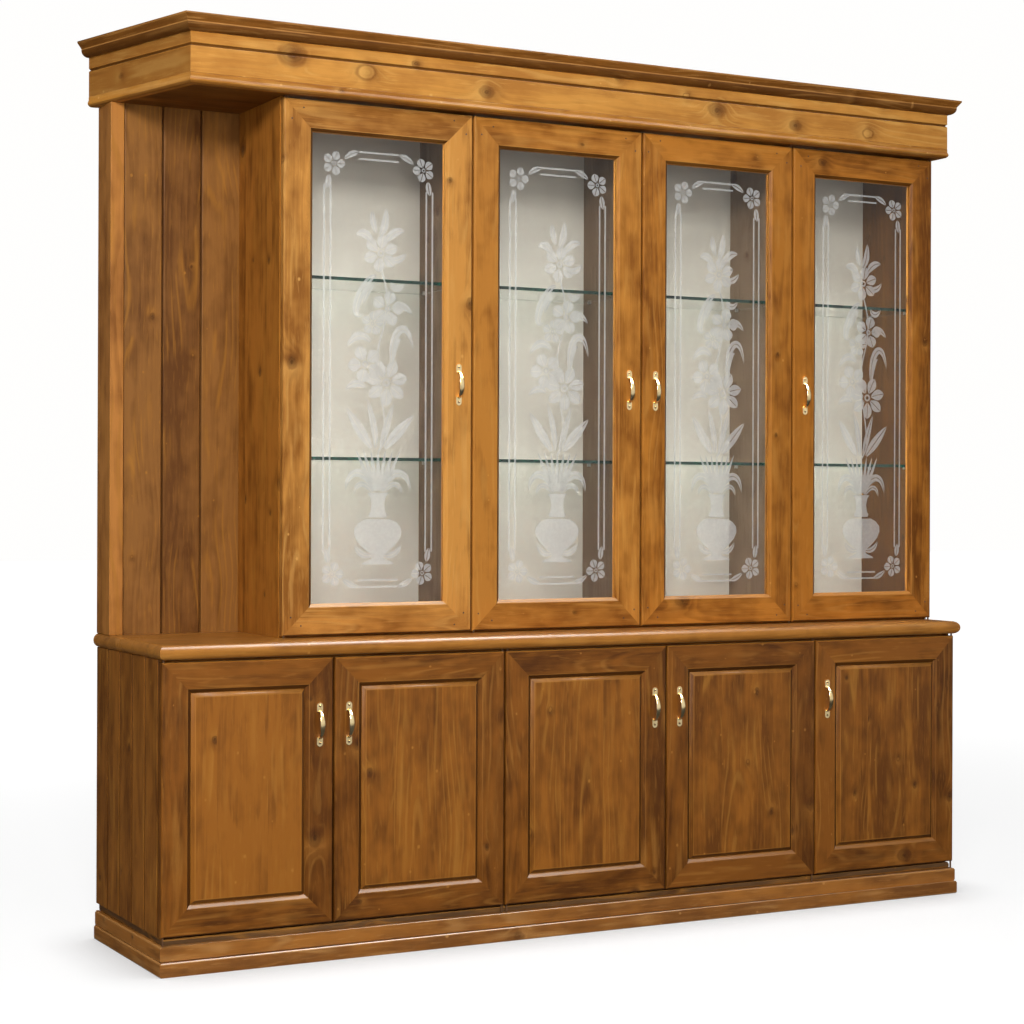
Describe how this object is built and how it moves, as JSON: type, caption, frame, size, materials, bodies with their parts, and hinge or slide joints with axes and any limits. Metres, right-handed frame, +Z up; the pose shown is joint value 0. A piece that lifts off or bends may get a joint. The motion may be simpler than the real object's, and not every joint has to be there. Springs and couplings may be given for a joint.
{
  "type": "dresser with hutch",
  "caption": "Wide knotty pine dresser: panelled cupboard base, round-nosed counter, glazed hutch with glass shelves, open side niche and a splayed cornice; every door swings on pivots.",
  "frame": {"origin": "on the floor under the middle of the bounding box", "axes": "+X to the right along the front, +Y from the front to the back, +Z up"},
  "size_m": [2.382, 0.5074, 2.19],
  "materials": {
    "carcass_wood": "stained satin pine",
    "base_door_wood": "stained satin pine",
    "panel_wood": "stained satin pine",
    "hutch_door_wood": "stained satin pine",
    "cornice_wood": "stained satin pine",
    "crown_wood": "dark stained satin pine",
    "rough_wood": "unstained pine",
    "pale_panel": "pale satin lacquer",
    "door_glass": "clear with a frosted ornament",
    "shelf_glass": "clear, polished green edges",
    "pull_brass": "polished",
    "pin_steel": "satin",
    "pin_bronze": "dark bronze"
  },
  "bodies": {
    "carcass": {"plinth_skirting_lower": "carcass_wood", "plinth_skirting_upper": "carcass_wood", "plinth_recess_strip": "carcass_wood", "base_kick_boards": "rough_wood", "base_floor_panel": "carcass_wood", "base_side_panels": "carcass_wood", "base_side_boards": "carcass_wood", "base_partitions": "carcass_wood", "base_rails": "carcass_wood", "base_shelves": "carcass_wood", "base_back_panel": "rough_wood", "counter_top": "carcass_wood", "hutch_side_panels": "carcass_wood", "hutch_floor_panel": "carcass_wood", "hutch_partitions": "carcass_wood", "hutch_back_panel": "pale_panel", "hutch_back_battens": "rough_wood", "niche_back_boards": "carcass_wood", "niche_post": "carcass_wood", "glass_shelves": "shelf_glass", "shelf_pegs": "pin_steel", "cornice_bead": "cornice_wood", "cornice_frieze": "cornice_wood", "cornice_crown": "crown_wood", "cornice_soffit": "carcass_wood", "cornice_dust_panel": "rough_wood", "cornice_back_board": "rough_wood", "pivot_pins": "pin_bronze"},
    "base_door_1": {"base_door_1_frame": "base_door_wood", "base_door_1_panel": "panel_wood", "base_door_1_pull": "pull_brass"},
    "base_door_2": {"base_door_2_frame": "base_door_wood", "base_door_2_panel": "panel_wood", "base_door_2_pull": "pull_brass"},
    "base_door_3": {"base_door_3_frame": "base_door_wood", "base_door_3_panel": "panel_wood", "base_door_3_pull": "pull_brass"},
    "base_door_4": {"base_door_4_frame": "base_door_wood", "base_door_4_panel": "panel_wood", "base_door_4_pull": "pull_brass"},
    "base_door_5": {"base_door_5_frame": "base_door_wood", "base_door_5_panel": "panel_wood", "base_door_5_pull": "pull_brass"},
    "hutch_door_1": {"hutch_door_1_frame": "hutch_door_wood", "hutch_door_1_glass": "door_glass", "hutch_door_1_beads": "hutch_door_wood", "hutch_door_1_pull": "pull_brass"},
    "hutch_door_2": {"hutch_door_2_frame": "hutch_door_wood", "hutch_door_2_glass": "door_glass", "hutch_door_2_beads": "hutch_door_wood", "hutch_door_2_pull": "pull_brass"},
    "hutch_door_3": {"hutch_door_3_frame": "hutch_door_wood", "hutch_door_3_glass": "door_glass", "hutch_door_3_beads": "hutch_door_wood", "hutch_door_3_pull": "pull_brass"},
    "hutch_door_4": {"hutch_door_4_frame": "hutch_door_wood", "hutch_door_4_glass": "door_glass", "hutch_door_4_beads": "hutch_door_wood", "hutch_door_4_pull": "pull_brass"}
  },
  "joints": [
    {"name": "base_door_1_swing", "type": "hinge", "parent": "carcass", "child": "base_door_1", "pos_m": [-1.13, -0.2263, 0.397], "axis": [0, 0, -1], "range_deg": [0, 95]},
    {"name": "base_door_2_swing", "type": "hinge", "parent": "carcass", "child": "base_door_2", "pos_m": [-0.267, -0.2263, 0.397], "axis": [0, 0, 1], "range_deg": [0, 85]},
    {"name": "base_door_3_swing", "type": "hinge", "parent": "carcass", "child": "base_door_3", "pos_m": [-0.253, -0.2263, 0.397], "axis": [0, 0, -1], "range_deg": [0, 85]},
    {"name": "base_door_4_swing", "type": "hinge", "parent": "carcass", "child": "base_door_4", "pos_m": [0.663, -0.2263, 0.397], "axis": [0, 0, 1], "range_deg": [0, 95]},
    {"name": "base_door_5_swing", "type": "hinge", "parent": "carcass", "child": "base_door_5", "pos_m": [1.131, -0.2263, 0.397], "axis": [0, 0, 1], "range_deg": [0, 95]},
    {"name": "hutch_door_1_swing", "type": "hinge", "parent": "carcass", "child": "hutch_door_1", "pos_m": [-0.8, -0.1263, 1.3895], "axis": [0, 0, -1], "range_deg": [0, 95]},
    {"name": "hutch_door_2_swing", "type": "hinge", "parent": "carcass", "child": "hutch_door_2", "pos_m": [-0.295, -0.1263, 1.3895], "axis": [0, 0, -1], "range_deg": [0, 95]},
    {"name": "hutch_door_3_swing", "type": "hinge", "parent": "carcass", "child": "hutch_door_3", "pos_m": [0.657, -0.1263, 1.3895], "axis": [0, 0, 1], "range_deg": [0, 95]},
    {"name": "hutch_door_4_swing", "type": "hinge", "parent": "carcass", "child": "hutch_door_4", "pos_m": [1.131, -0.1263, 1.3895], "axis": [0, 0, 1], "range_deg": [0, 95]}
  ]
}
